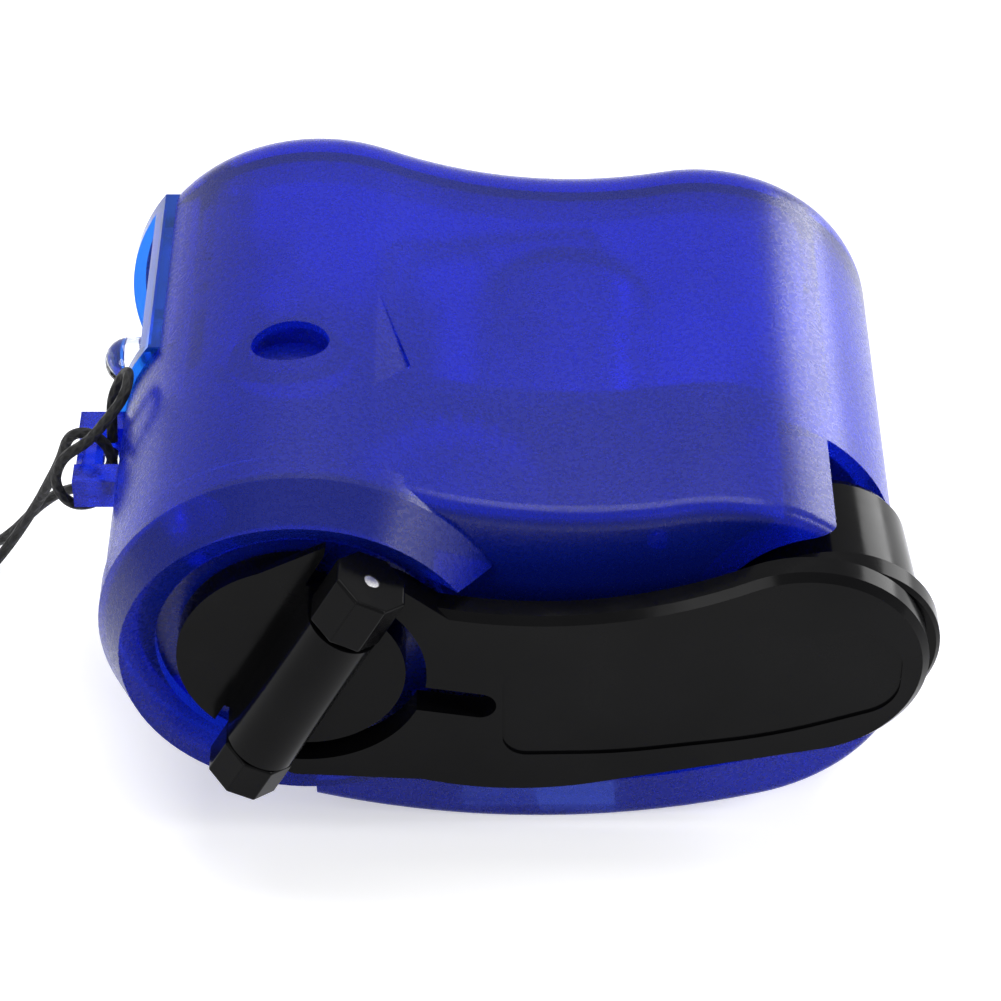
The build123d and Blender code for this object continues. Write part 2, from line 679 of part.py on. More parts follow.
def meshed_phase(teeth, driver_teeth, driver_phase, direction):
    """The phase that puts a gap of this gear on the driver's tooth; direction is driver to gear."""
    offset = (driver_phase - direction) / (360 / driver_teeth)
    pitch = 360 / teeth
    return direction + 180 + pitch / 2 - offset * pitch


def layer_front(layer):
    return GEAR_START_Y + layer * GEAR_STEP


def gear(centre, teeth, phase, layer):
    front = layer_front(layer)
    return slab(Pos(*centre) * gear_face(teeth, phase), front, front + GEAR_T)


PHASE_PINION_A = meshed_phase(PINION_A_TEETH, DRIVE_TEETH, 0, AXLE_A_ANGLE)
PHASE_PINION_B = meshed_phase(PINION_B_TEETH, WHEEL_A_TEETH, 0, angle_of(AXLE_A, AXLE_B))
PHASE_ROTOR = meshed_phase(ROTOR_TEETH, WHEEL_B_TEETH, 0, angle_of(AXLE_B, GENERATOR))


def drive_gear():
    front = layer_front(0)
    boss = round_bar(HUB, SHAFT_R + 2, front, front + GEAR_T + 0.6)
    bore = round_bar(HUB, SHAFT_R + 0.01, front - 1, front + GEAR_T + 2)
    return gear(HUB, DRIVE_TEETH, 0, 0) + boss - bore


def compound_gear(centre, small, small_phase, small_layer, big, front_end, back_end):
    """A pinion and a wheel in one piece, with a hub that runs to both plates."""
    body = gear(centre, small, small_phase, small_layer) + gear(centre, big, 0, small_layer + 1)
    body += round_bar(centre, pitch_r(small) - 1.1 * MODULE, front_end, back_end)
    return body - round_bar(centre, AXLE_R + RUN, front_end - 1, back_end + 1)


def plate_front_y():
    return FACE_Y + WALL


def gear_a():
    return compound_gear(AXLE_A, PINION_A_TEETH, PHASE_PINION_A, 0, WHEEL_A_TEETH,
                         plate_front_y() + PLATE_T + 0.3, REAR_PLATE_Y - 0.3)


def gear_b():
    return compound_gear(AXLE_B, PINION_B_TEETH, PHASE_PINION_B, 1, WHEEL_B_TEETH,
                         layer_front(1) - 0.3, REAR_PLATE_Y - 0.3)


def axle(centre):
    return round_bar(centre, AXLE_R, plate_front_y() + FIT, REAR_PLATE_Y + REAR_PLATE_T - FIT)


def plate_shape():
    """The inside of the case, less the cover's screw posts."""
    shape = outline(WALL + 3 * FIT)
    for spot in cover_screw_spots():
        shape -= Pos(*spot) * Circle(COVER_POST_R + CLEAR)
    return shape


def front_plate():
    front = plate_front_y()
    plate = slab(plate_shape() - pocket_shape(POCKET_WALL + 3 * FIT), front, front + PLATE_T)
    plate -= round_bar(HUB, SHAFT_R + 1.5 + FIT, front - 1, front + PLATE_T + 1)
    for centre in (AXLE_A, AXLE_B):
        plate -= round_bar(centre, AXLE_R + 0.01, front - 1, front + PLATE_T + 1)
    for spot in POSTS:
        plate -= round_bar(spot, SCREW_R + FIT, front - 1, front + PLATE_T + 1)
    return plate


def rear_plate():
    back = REAR_PLATE_Y + REAR_PLATE_T
    plate = slab(plate_shape(), REAR_PLATE_Y, back)
    plate -= round_bar(HUB, SHAFT_R + 1.5 + 0.01, REAR_PLATE_Y - 1, back + 1)
    boss_low = LEFT_R - TOP_HOLE_DEPTH - 1.2 - CLEAR
    notch = Rectangle(TOP_HOLE_SIZE[0] + 2 * WALL + 2 * CLEAR, 10)
    plate -= slab(Pos(TOP_HOLE[0], boss_low + 5) * notch, REAR_PLATE_Y - 1, back + 1)
    plate -= round_bar(GENERATOR, ROTOR_SHAFT_R + 1.2, REAR_PLATE_Y - 1, back + 1)
    for centre in (AXLE_A, AXLE_B):
        plate -= round_bar(centre, AXLE_R + 0.01, REAR_PLATE_Y - 1, back + 1)
    for spot in POSTS:
        plate += round_bar(spot, POST_R, plate_front_y() + PLATE_T, back)
        plate -= round_bar(spot, SCREW_R + FIT, plate_front_y() + PLATE_T - 1, back + 1)
    for spot in generator_screw_spots():
        plate -= round_bar(spot, SCREW_R + FIT, REAR_PLATE_Y - 1, back + 1)
    return plate


def gearbox_screws():
    head = REAR_PLATE_Y + REAR_PLATE_T + SCREW_HEAD_T
    return [screw(spot, head, FACE_Y + WALL / 2) for spot in POSTS]


def crank_shaft():
    end = REAR_PLATE_Y + REAR_PLATE_T + 2.4
    shaft = round_bar(HUB, SHAFT_R, 1.4, end)
    return shaft - tube(HUB, SHAFT_R + 1, SHAFT_R - 0.5, end - 1.6, end - 1.0)


def shaft_clip():
    end = REAR_PLATE_Y + REAR_PLATE_T + 2.4
    clip = tube(HUB, SHAFT_R + 1.4, SHAFT_R - 0.4, end - 1.55, end - 1.05)
    return clip - slab(Pos(0, -SHAFT_R) * Rectangle(2.6, 2 * SHAFT_R), end - 3, end)


def front_bush():
    flange_back = plate_front_y() + PLATE_T
    return tube(HUB, SHAFT_R + 1.5, SHAFT_R + RUN, BOWL_FLOOR_Y, flange_back)


def rear_bush():
    return tube(HUB, SHAFT_R + 1.5, SHAFT_R + RUN, REAR_PLATE_Y - 0.6, REAR_PLATE_Y + REAR_PLATE_T)


# ---- generator ----

def generator_screw_spots():
    return [at_angle(GENERATOR, CAN_R - 3.6, angle) for angle in (90, 270)]


def can_front():
    return REAR_PLATE_Y + REAR_PLATE_T


def generator_can():
    front = can_front()
    can = round_bar(GENERATOR, CAN_R, front, front + CAN_LENGTH)
    can = fillet(can.faces().sort_by(Axis.Y)[0].edges(), 0.6)
    can -= round_bar(GENERATOR, CAN_R - CAN_WALL, front + 1.4, front + CAN_LENGTH + 1)
    can -= round_bar(GENERATOR, ROTOR_SHAFT_R + RUN, front - 1, front + 2)
    for spot in generator_screw_spots():
        can -= round_bar(spot, SCREW_R + 0.01, front - 1, front + 2)
    return can


def generator_cap():
    front = can_front() + CAN_LENGTH
    cap = round_bar(GENERATOR, CAN_R, front, front + CAP_T - 1)
    cap += round_bar(GENERATOR, 4.0, front, front + CAP_T)
    cap += round_bar(GENERATOR, CAN_R - CAN_WALL - FIT, front - 1.2, front)
    for side in (-1, 1):
        place = (GENERATOR[0] + side * 6.0, GENERATOR[1])
        cap += slab(Pos(*place) * Rectangle(0.6, 2.2), front, front + CAP_T + 0.6)
    return cap - round_bar(GENERATOR, ROTOR_SHAFT_R + RUN, front - 2, front + CAP_T - 0.8)


def magnets():
    front = can_front() + 3.0
    ring = tube(GENERATOR, CAN_R - CAN_WALL - 0.02, CAN_R - CAN_WALL - MAGNET_T, front, front + 15)
    gap = slab(Pos(*GENERATOR) * Rectangle(5.0, 3 * CAN_R), front - 1, front + 16)
    return [Compound((ring - gap).solids())]


def rotor():
    """The wound armature on its shaft, with the pinion."""
    front = layer_front(2)
    can = can_front()
    body = round_bar(GENERATOR, ROTOR_SHAFT_R, front - 1, can + CAN_LENGTH + CAP_T - 1.2)
    core = Circle(ROTOR_R)
    for index in range(3):
        turn = 120 * index
        core -= Pos(*at_angle((0, 0), ROTOR_R, turn)) * Rot(0, 0, turn) * Rectangle(5.0, 1.6)
    return body + slab(Pos(*GENERATOR) * core, can + 4, can + 17)


def rotor_pinion():
    front = layer_front(2)
    body = gear(GENERATOR, ROTOR_TEETH, PHASE_ROTOR, 2)
    return body - round_bar(GENERATOR, ROTOR_SHAFT_R + 0.01, front - 1, front + GEAR_T + 1)


def generator_screws():
    return [screw(spot, REAR_PLATE_Y - SCREW_HEAD_T, can_front() + 1.4) for spot in generator_screw_spots()]


def wire(points):
    """A thin lead along hand-picked points."""
    path = FilletPolyline(*points, radius=WIRE_BEND)
    start = Plane(origin=path @ 0, z_dir=path % 0)
    return sweep(start * Circle(WIRE_R), path=path)


def generator_wires():
    """Two leads from the generator's tags over to the board."""
    back = can_front() + CAN_LENGTH + CAP_T + 0.6
    wires = []
    for side, reach, away in ((-1, 3.0, 2.6), (1, 5.4, 4.4)):
        x = GENERATOR[0] + side * 6.0
        z = GENERATOR[1]
        land_x = BOARD_X[1] - reach
        land_y = BOARD_Y[1] - 2.6
        wires.append(wire([(x, back, z), (x, back + away, z), (x - 3.4, back + away, z + 4.4 + away / 2),
                           (land_x, land_y, z + 3.4 + away), (land_x, land_y, BOARD_TOP_Z)]))
    return wires


# ---- circuit board ----

def circuit_board():
    size = (BOARD_X[1] - BOARD_X[0], BOARD_Y[1] - BOARD_Y[0])
    centre = ((BOARD_X[0] + BOARD_X[1]) / 2, (BOARD_Y[0] + BOARD_Y[1]) / 2, BOARD_TOP_Z - BOARD_T / 2)
    board = Pos(*centre) * Box(*size, BOARD_T)
    for spot in BOARD_POSTS:
        board -= Pos(spot[0], spot[1], BOARD_TOP_Z) * Cylinder(SCREW_R + FIT, 6)
    return board


def board_screws():
    screws = []
    for spot in BOARD_POSTS:
        head = Pos(spot[0], spot[1], BOARD_TOP_Z + SCREW_HEAD_T / 2) * Cylinder(SCREW_HEAD_R, SCREW_HEAD_T)
        stem = Pos(spot[0], spot[1], BOARD_TOP_Z - BOARD_SCREW_DEPTH / 2)
        screws.append(head + stem * Cylinder(SCREW_R, BOARD_SCREW_DEPTH))
    return screws


def capacitor():
    body = Pos(*CAPACITOR, BOARD_TOP_Z + CAPACITOR_TALL / 2) * Cylinder(CAPACITOR_R, CAPACITOR_TALL)
    return fillet(body.edges().group_by(Axis.Z)[-1], CAPACITOR_ROUND)


def inductor():
    ring = Cylinder(INDUCTOR_R, INDUCTOR_TALL) - Cylinder(INDUCTOR_BORE_R, 2 * INDUCTOR_TALL)
    return Pos(*INDUCTOR, BOARD_TOP_Z + INDUCTOR_TALL / 2) * ring


def converter_chip():
    return Pos(*CHIP, BOARD_TOP_Z + CHIP_SIZE[2] / 2) * Box(*CHIP_SIZE)


# ---- lanyard ----

CORD_Z = REST_Z + CORD_R + 0.02
COIL_R = CORD_END_A[1] - COIL_CENTRE[1]
COIL_TOP_Z = CORD_Z + COIL_PITCH
CORD_END_B = (COIL_CENTRE[0], COIL_CENTRE[1] - COIL_R)


def coil_point(turn):
    """A point of the coil: in on the lower layer, up in half a turn, and out on the upper layer."""
    climb = min(max(turn - COIL_TURNS, 0) / 0.5, 1)
    inwards = min(turn, COIL_TURNS) - max(turn - COIL_TURNS - 0.5, 0)
    radius = COIL_R - COIL_PITCH * inwards
    height = CORD_Z + COIL_PITCH * (1 - math.cos(math.pi * climb)) / 2
    flat = at_angle(COIL_CENTRE, radius, 90 + 360 * turn)
    return Vector(flat[0], flat[1], height)


def coil_tangent(turn):
    return (coil_point(turn + 1e-4) - coil_point(turn - 1e-4)).normalized()


def biarc(start, start_way, end, end_way):
    """Two arcs that leave start and reach end in the given directions."""
    chord = end - start
    both = start_way + end_way
    a = both.dot(both) - 4
    b = chord.dot(both)
    c = chord.dot(chord)
    reach = c / (2 * b) if abs(a) < 1e-9 else (b - math.sqrt(b * b - a * c)) / a
    middle = (start + start_way * reach + end - end_way * reach) / 2
    first = TangentArc(start, middle, tangent=start_way)
    return [first, TangentArc(middle, end, tangent=first % 1)]


def coil_path():
    turns = [step / 4 for step in range(round(4 * (2 * COIL_TURNS + 0.5)) + 1)]
    edges = []
    ways = {turn: coil_tangent(turn) for turn in turns}
    ways[turns[0]] = Vector(-1, 0, 0)
    ways[turns[-1]] = Vector(1, 0, 0)
    for low, high in zip(turns, turns[1:]):
        edges += biarc(coil_point(low), ways[low], coil_point(high), ways[high])
    first = coil_point(turns[0])
    last = coil_point(turns[-1])
    lead = Vector(2 * CORD_R, 0, 0)
    return [Line(first + lead, first)] + edges + [Line(last, last + lead)]


def report_coil_gap(edges):
    """Print the coil's length and the least gap between its turns, measured on points."""
    length = sum(edge.length for edge in edges)
    points = []
    run = 0.0
    for edge in edges:
        points += [(run + edge.length * step / 12, edge @ (step / 12)) for step in range(12)]
        run += edge.length
    gaps = [(p - q).length for s, p in points for t, q in points if t - s > 8 * CORD_R]
    print("coil length", round(length, 1), "least gap", round(min(gaps) - 2 * CORD_R, 2))


def lanyard_coil():
    edges = coil_path()
    report_coil_gap(edges)
    path = Wire(edges)
    start = Plane(origin=path @ 0, z_dir=path % 0)
    return sweep(start * Circle(CORD_R), path=path)


CORD_ROUTE = [
    (CORD_END_A[0] + 2 * CORD_R, CORD_END_A[1], CORD_Z),
    (-44.0, CORD_END_A[1], CORD_Z),
    (-40.2, 42.2, CORD_Z),
    (-36.4, 38.8, -22.2),
    (-33.2, 36.6, -17.8),
    (-29.8, 33.6, -11.4),
    (-26.4, 30.6, -6.2),
    (-22.6, 28.4, -3.6),
    (-20.4, 27.4, 0.2),
    (-20.15, 27.4, 4.0),
    (-20.0, 27.7, 7.6),
    (-18.2, 27.7, 11.2),
    (-17.9, 26.1, 11.7),
    (-20.2, 25.6, 8.8),
    (-22.4, 24.7, 5.6),
    (-25.2, 24.4, 3.4),
    (-25.8, 24.5, -0.6),
    (-23.6, 24.9, -3.8),
    (-20.5, 25.7, -0.9),
    (-20.25, 25.9, 2.2),
    (-20.5, 26.0, 5.4),
    (-24.4, 26.5, 5.2),
    (-25.6, 27.6, 0.8),
    (-28.0, 29.6, -5.2),
    (-29.2, 31.0, -8.4),
    (-32.6, 32.8, -15.4),
    (-35.9, 33.4, -20.6),
    (-40.0, 30.6, -22.3),
    (-43.6, CORD_END_B[1], COIL_TOP_Z),
    (CORD_END_B[0] + 2 * CORD_R, CORD_END_B[1], COIL_TOP_Z),
]


def corner_radii(points):
    """The bend at each corner: 0.45 of the shorter run over the tangent of half the turn."""
    radii = []
    for before, at, after in zip(points, points[1:], points[2:]):
        arriving = Vector(*at) - Vector(*before)
        leaving = Vector(*after) - Vector(*at)
        half_turn = math.radians(arriving.get_angle(leaving)) / 2
        radii.append(0.45 * min(arriving.length, leaving.length) / math.tan(half_turn))
    return radii


def lanyard_cord():
    radii = corner_radii(CORD_ROUTE)
    print("cord bends", [round(r, 1) for r in radii])
    path = FilletPolyline(*CORD_ROUTE, radius=radii)
    start = Plane(origin=path @ 0, z_dir=path % 0)
    cord = sweep(start * Circle(CORD_R), path=path)
    expected = math.pi * CORD_R**2 * path.length
    print("cord length", round(path.length, 1), "volume share", round(cord.volume / expected, 4))
    return cord


# ---- writing the pieces ----

PIECES = {
    "main_shell": main_shell,
    "rear_cover": rear_cover,
    "cover_screws": cover_screws,
    "usb_surround": usb_surround,
    "usb_shell": usb_shell,
    "usb_tongue": usb_tongue,
    "usb_contacts": usb_contacts,
    "led_lens": led_lens,
    "led_leads": led_leads,
    "crank_hub": crank_hub,
    "crank_shaft": crank_shaft,
    "shaft_clip": shaft_clip,
    "front_bush": front_bush,
    "rear_bush": rear_bush,
    "hinge_pin": hinge_pin,
    "crank_arm": crank_arm,
    "grip": grip,
    "grip_pin": grip_pin,
    "drive_gear": drive_gear,
    "compound_gear_a": gear_a,
    "compound_gear_b": gear_b,
    "axle_a": lambda: axle(AXLE_A),
    "axle_b": lambda: axle(AXLE_B),
    "front_plate": front_plate,
    "rear_plate": rear_plate,
    "gearbox_screws": gearbox_screws,
    "generator_can": generator_can,
    "generator_cap": generator_cap,
    "generator_magnets": magnets,
    "generator_rotor": rotor,
    "rotor_pinion": rotor_pinion,
    "generator_screws": generator_screws,
    "generator_wires": generator_wires,
    "circuit_board": circuit_board,
    "board_screws": board_screws,
    "capacitor": capacitor,
    "inductor": inductor,
    "converter_chip": converter_chip,
    "lanyard_cord": lanyard_cord,
    "lanyard_coil": lanyard_coil,
}
CORD_PIECES = ("lanyard_cord", "lanyard_coil")


def as_compound(made):
    pieces = made if isinstance(made, list) else [made]
    return Compound([solid for piece in pieces for solid in piece.solids()])


def write_pieces():
    """Build every piece, stand the object on the origin and write one file for each."""
    built = {name: as_compound(make()) for name, make in PIECES.items()}
    box = Compound([shape for name, shape in built.items() if name not in CORD_PIECES]).bounding_box()
    middle = box.center()
    shift = Vector(-middle.X, -middle.Y, -box.min.Z)
    print("hub centre at", [round(v, 4) for v in (shift.X, shift.Y, shift.Z)])
    print("axle a", AXLE_A, "axle b", AXLE_B)
    os.makedirs("parts", exist_ok=True)
    for name, shape in built.items():
        moved = shape.moved(Location(shift))
        solids = moved.solids()
        export_step(solids[0] if len(solids) == 1 else moved, f"parts/{name}.step")


if __name__ == "__main__":
    write_pieces()
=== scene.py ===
"""Looks of a hand crank phone charger: materials, lanyard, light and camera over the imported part."""

import math

import bpy
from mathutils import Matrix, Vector


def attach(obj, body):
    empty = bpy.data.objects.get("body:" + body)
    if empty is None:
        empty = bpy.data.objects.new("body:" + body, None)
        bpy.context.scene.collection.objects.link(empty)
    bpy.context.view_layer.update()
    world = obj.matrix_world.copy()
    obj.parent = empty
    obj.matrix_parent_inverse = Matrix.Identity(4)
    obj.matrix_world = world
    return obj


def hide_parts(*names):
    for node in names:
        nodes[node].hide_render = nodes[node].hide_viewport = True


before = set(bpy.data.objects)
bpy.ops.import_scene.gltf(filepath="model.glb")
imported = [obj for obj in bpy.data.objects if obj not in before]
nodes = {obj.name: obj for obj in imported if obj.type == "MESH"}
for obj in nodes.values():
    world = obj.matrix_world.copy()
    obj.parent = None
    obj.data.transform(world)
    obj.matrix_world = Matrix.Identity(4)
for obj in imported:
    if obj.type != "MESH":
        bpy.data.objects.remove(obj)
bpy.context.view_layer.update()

HUB = Vector((-0.01855, -0.0267, 0.0241395))    # centre of the crank's hub, in metres

# Millimetres, as in the rest of the lanyard's sizes below.
CORD_R = 0.55
CORD_LENGTH = 312


def at(x, y, z):
    """A point in metres from its place in millimetres from the crank's hub."""
    return HUB + Vector((x, y, z)) / 1000


# ---- camera ----

FOCAL_LENGTH = 118.68
CAMERA_PLACE = (18.8, -219.3, 225.3)    # from the hub
CAMERA_TILT = 47                        # degrees up from looking straight down


def make_camera():
    data = bpy.data.cameras.new("camera")
    data.lens = FOCAL_LENGTH
    data.sensor_width = 36
    data.clip_start = 0.01
    data.clip_end = 20
    camera = bpy.data.objects.new("camera", data)
    camera.location = at(*CAMERA_PLACE)
    camera.rotation_euler = (math.radians(CAMERA_TILT), 0, 0)
    bpy.context.scene.collection.objects.link(camera)
    bpy.context.scene.camera = camera
    bpy.context.scene.view_settings.view_transform = "Standard"


# ---- node helpers ----

class Maker:
    """Builds one material's nodes with short calls."""

    def __init__(self, name):
        self.material = bpy.data.materials.new(name)
        self.material.use_nodes = True
        self.tree = self.material.node_tree
        self.shader = self.tree.nodes["Principled BSDF"]
        self.output = self.tree.nodes["Material Output"]
        self.place = self.node("ShaderNodeTexCoord").outputs["Object"]

    def node(self, kind, **settings):
        made = self.tree.nodes.new(kind)
        for key, value in settings.items():
            setattr(made, key, value)
        return made

    def link(self, source, target):
        self.tree.links.new(source, target)

    def set(self, **values):
        for key, value in values.items():
            self.shader.inputs[key.replace("_", " ")].default_value = value
        return self

    def noise(self, scale, detail=2.0, rough=0.5):
        made = self.node("ShaderNodeTexNoise")
        made.inputs["Scale"].default_value = scale
        made.inputs["Detail"].default_value = detail
        made.inputs["Roughness"].default_value = rough
        self.link(self.place, made.inputs["Vector"])
        return made.outputs["Fac"]

    def ramp(self, value, stops):
        """stops are (position, colour) pairs."""
        made = self.node("ShaderNodeValToRGB")
        ends = made.color_ramp.elements
        while len(ends) < len(stops):
            ends.new(0.5)
        for element, (position, colour) in zip(ends, stops):
            element.position = position
            element.color = (*colour, 1)
        self.link(value, made.inputs["Fac"])
        return made.outputs["Color"]

    def remap(self, value, low, high, new_low, new_high):
        made = self.node("ShaderNodeMapRange")
        for key, number in (("From Min", low), ("From Max", high), ("To Min", new_low), ("To Max", new_high)):
            made.inputs[key].default_value = number
        self.link(value, made.inputs["Value"])
        return made.outputs["Result"]

    def bump(self, height, depth_mm):
        made = self.node("ShaderNodeBump")
        made.inputs["Strength"].default_value = 1.0
        made.inputs["Distance"].default_value = depth_mm / 1000
        self.link(height, made.inputs["Height"])
        return made.outputs["Normal"]

    def to(self, source, socket):
        self.link(source, self.shader.inputs[socket])
        return self


def rgb(red, green, blue):
    return (red, green, blue, 1)


# ---- materials ----

CLOUD_SHADE = 0.86      # how dark the darker clouds in tinted plastic are
MOTTLE_SHADE = 0.8      # the same on metal and plain plastic
BRAID_PITCH = 1.3       # millimetres along the cord
BRAID_STRANDS = 4       # each way round


def shaded(colour, share):
    return tuple(part * share for part in colour)


def tinted(name, colour, clear, rough, gloss, grain_mm, grain_scale):
    """Translucent plastic with a fine moulded grain."""
    m = Maker(name)
    m.set(IOR=1.3, Roughness=rough, Transmission_Weight=clear, Specular_IOR_Level=gloss)
    cloud = m.noise(60, 3)
    m.to(m.ramp(cloud, [(0.35, shaded(colour, CLOUD_SHADE)), (0.65, colour)]), "Base Color")
    grain = m.noise(grain_scale, 2, 0.6)
    m.to(m.remap(grain, 0.3, 0.7, rough - 0.05, rough + 0.08), "Roughness")
    m.to(m.bump(grain, grain_mm), "Normal")
    return m.material


def glossy_black():
    """Near-black moulded plastic with a smooth, slightly uneven gloss."""
    m = Maker("glossy_black")
    m.set(IOR=1.5, Roughness=0.2, Specular_IOR_Level=0.06)
    cloud = m.noise(90, 3)
    m.to(m.ramp(cloud, [(0.35, (0.0015, 0.0015, 0.0018)), (0.7, (0.003, 0.003, 0.0034))]), "Base Color")
    m.to(m.remap(m.noise(260, 3), 0.3, 0.7, 0.12, 0.2), "Roughness")
    m.to(m.bump(m.noise(900, 2), 0.004), "Normal")
    return m.material


def metal(name, colour, rough):
    """Mottled metal with fine wear."""
    m = Maker(name)
    m.set(Metallic=1.0, Roughness=rough)
    m.to(m.ramp(m.noise(220, 4), [(0.3, shaded(colour, MOTTLE_SHADE)), (0.7, colour)]), "Base Color")
    m.to(m.remap(m.noise(700, 2), 0.3, 0.7, rough * 0.8, rough * 1.3), "Roughness")
    m.to(m.bump(m.noise(1400, 2), 0.01), "Normal")
    return m.material


def plastic(name, colour, rough, grain_mm=0.015):
    """Opaque plastic with a fine grain."""
    m = Maker(name)
    m.set(Roughness=rough)
    m.to(m.ramp(m.noise(150, 3), [(0.3, shaded(colour, MOTTLE_SHADE)), (0.7, colour)]), "Base Color")
    m.to(m.bump(m.noise(1200, 2), grain_mm), "Normal")
    return m.material


def clear_lens():
    m = Maker("clear_lens")
    m.set(IOR=1.5, Roughness=0.04, Transmission_Weight=1.0)
    m.to(m.ramp(m.noise(80, 2), [(0.3, (0.86, 0.92, 0.98)), (0.7, (0.95, 0.98, 1.0))]), "Base Color")
    return m.material


def braid():
    """Fine black braid: two sets of strands crossing along the cord."""
    m = Maker("black_braid")
    m.set(Roughness=0.62, Specular_IOR_Level=0.2, Sheen_Weight=0.06, Sheen_Roughness=0.5)
    uv = m.tree.nodes["Texture Coordinate"].outputs["UV"]
    parts = m.node("ShaderNodeSeparateXYZ")
    m.link(uv, parts.inputs["Vector"])
    waves = []
    for side in (-1, 1):
        along = m.node("ShaderNodeMath", operation="MULTIPLY")
        along.inputs[1].default_value = CORD_LENGTH / BRAID_PITCH
        m.link(parts.outputs["X"], along.inputs[0])
        around = m.node("ShaderNodeMath", operation="MULTIPLY_ADD")
        around.inputs[1].default_value = side * BRAID_STRANDS
        m.link(parts.outputs["Y"], around.inputs[0])
        m.link(along.outputs[0], around.inputs[2])
        turn = m.node("ShaderNodeMath", operation="MULTIPLY")
        turn.inputs[1].default_value = math.tau
        m.link(around.outputs[0], turn.inputs[0])
        wave = m.node("ShaderNodeMath", operation="SINE")
        m.link(turn.outputs[0], wave.inputs[0])
        waves.append(wave.outputs[0])
    both = m.node("ShaderNodeMath", operation="MAXIMUM")
    m.link(waves[0], both.inputs[0])
    m.link(waves[1], both.inputs[1])
    height = m.remap(both.outputs[0], -0.6, 1, 0, 1)
    # Base colour follows the braid's height: darker in the low places between strands as painted shade,
    # lighter on the crests.
    m.to(m.ramp(height, [(0.1, (0.001, 0.001, 0.001)), (0.9, (0.009, 0.009, 0.01))]), "Base Color")
    m.to(m.bump(height, 0.09), "Normal")
    return m.material


SHELL = tinted("shell_blue", (0.008, 0.032, 0.68), 0.8, 0.26, 0.2, 0.01, 2200)
COVER = tinted("cover_blue", (0.007, 0.027, 0.62), 0.8, 0.26, 0.2, 0.01, 2200)
# The USB surround is its own blue translucent plastic, painted lighter and more cyan than the shell as a
# painted highlight for light caught in the frame.
SURROUND_PAINTED_LIGHT = tinted("surround_blue", (0.02, 0.20, 0.85), 0.85, 0.1, 0.3, 0.002, 1200)
BLACK = glossy_black()
STEEL = metal("bright_steel", (0.72, 0.72, 0.73), 0.22)
DARK_STEEL = metal("dark_steel", (0.16, 0.16, 0.17), 0.35)
BRASS = metal("brass", (0.78, 0.58, 0.28), 0.3)
GOLD = metal("gold_plate", (0.9, 0.68, 0.3), 0.2)
COPPER = metal("armature", (0.5, 0.25, 0.12), 0.4)
WHITE = plastic("gear_white", (0.8, 0.79, 0.74), 0.45)
PLATE = plastic("plate_dark", (0.012, 0.012, 0.014), 0.5)
INSULATOR = plastic("socket_black", (0.02, 0.02, 0.02), 0.5)
FERRITE = plastic("dark_ferrite", (0.06, 0.06, 0.065), 0.7, 0.03)
WIRE = plastic("red_wire", (0.5, 0.02, 0.02), 0.35)
BOARD = plastic("board_green", (0.02, 0.2, 0.09), 0.35)
SLEEVE = plastic("dark_sleeve", (0.03, 0.04, 0.12), 0.3)
LENS = clear_lens()
BRAID = braid()

FINISHES = {
    SHELL: ["main_shell"],
    COVER: ["rear_cover"],
    SURROUND_PAINTED_LIGHT: ["usb_surround"],
    BLACK: ["crank_hub", "crank_arm", "grip"],
    STEEL: ["usb_shell", "led_leads", "crank_shaft", "hinge_pin", "grip_pin", "axle_a", "axle_b",
            "gearbox_screws", "generator_can", "generator_screws", "board_screws"],
    DARK_STEEL: ["cover_screws", "shaft_clip"],
    BRASS: ["front_bush", "rear_bush", "rotor_pinion"],
    GOLD: ["usb_contacts"],
    COPPER: ["generator_rotor"],
    WHITE: ["drive_gear", "compound_gear_a", "compound_gear_b"],
    PLATE: ["front_plate", "rear_plate"],
    INSULATOR: ["usb_tongue", "generator_cap", "converter_chip"],
    FERRITE: ["generator_magnets", "inductor"],
    WIRE: ["generator_wires"],
    BOARD: ["circuit_board"],
    SLEEVE: ["capacitor"],
    LENS: ["led_lens"],
}


def dress_nodes():
    for material, names in FINISHES.items():
        for name in names:
            data = nodes[name].data
            data.materials.clear()
            data.materials.append(material)


# ---- lanyard ----

CORD_Z = -23.5695       # middle of a cord that lies on the floor, from the hub
COIL_CENTRE = (-47.5, 36.5)
COIL_R = 7.7
COIL_TURNS = 2.5
COIL_PITCH = 1.76
COIL_CLIMB = 0.5        # turns between the two layers
COIL_STEPS = 16         # points per turn
COIL_TOP_Z = CORD_Z + COIL_PITCH

STRAND_ONE = [
    (-20.27, 27.4, 2.0),
    (-20.4, 27.4, 0.2),
    (-22.6, 28.4, -3.6),
    (-26.4, 30.6, -6.2),
    (-29.8, 33.6, -11.4),
    (-33.2, 36.6, -17.8),
    (-36.4, 38.8, -22.2),
    (-40.2, 42.2, CORD_Z),
    (-44.0, 44.2, CORD_Z),
]
STRAND_TWO = [
    (-43.6, 28.8, COIL_TOP_Z),
    (-40.0, 30.6, -22.3),
    (-35.9, 33.4, -20.6),
    (-32.6, 32.8, -15.4),
    (-29.2, 31.0, -8.4),
    (-28.0, 29.6, -5.2),
    (-25.6, 27.6, 0.8),
    (-24.4, 26.5, 5.2),
    (-21.9, 26.1, 5.8),
    (-20.2, 25.9, 3.6),
    (-20.2, 25.8, 0.2),
    (-21.6, 25.4, -3.0),
    (-24.6, 24.8, -3.2),
    (-26.2, 24.5, 0.2),
    (-25.0, 24.3, 4.0),
    (-22.2, 24.3, 6.0),
    (-20.2, 24.3, 8.8),
    (-17.9, 24.4, 12.2),
    (-17.9, 28.9, 12.2),
    (-20.0, 29.0, 8.4),
    (-20.2, 28.0, 5.0),
    (-20.2, 27.4, 3.4),
]


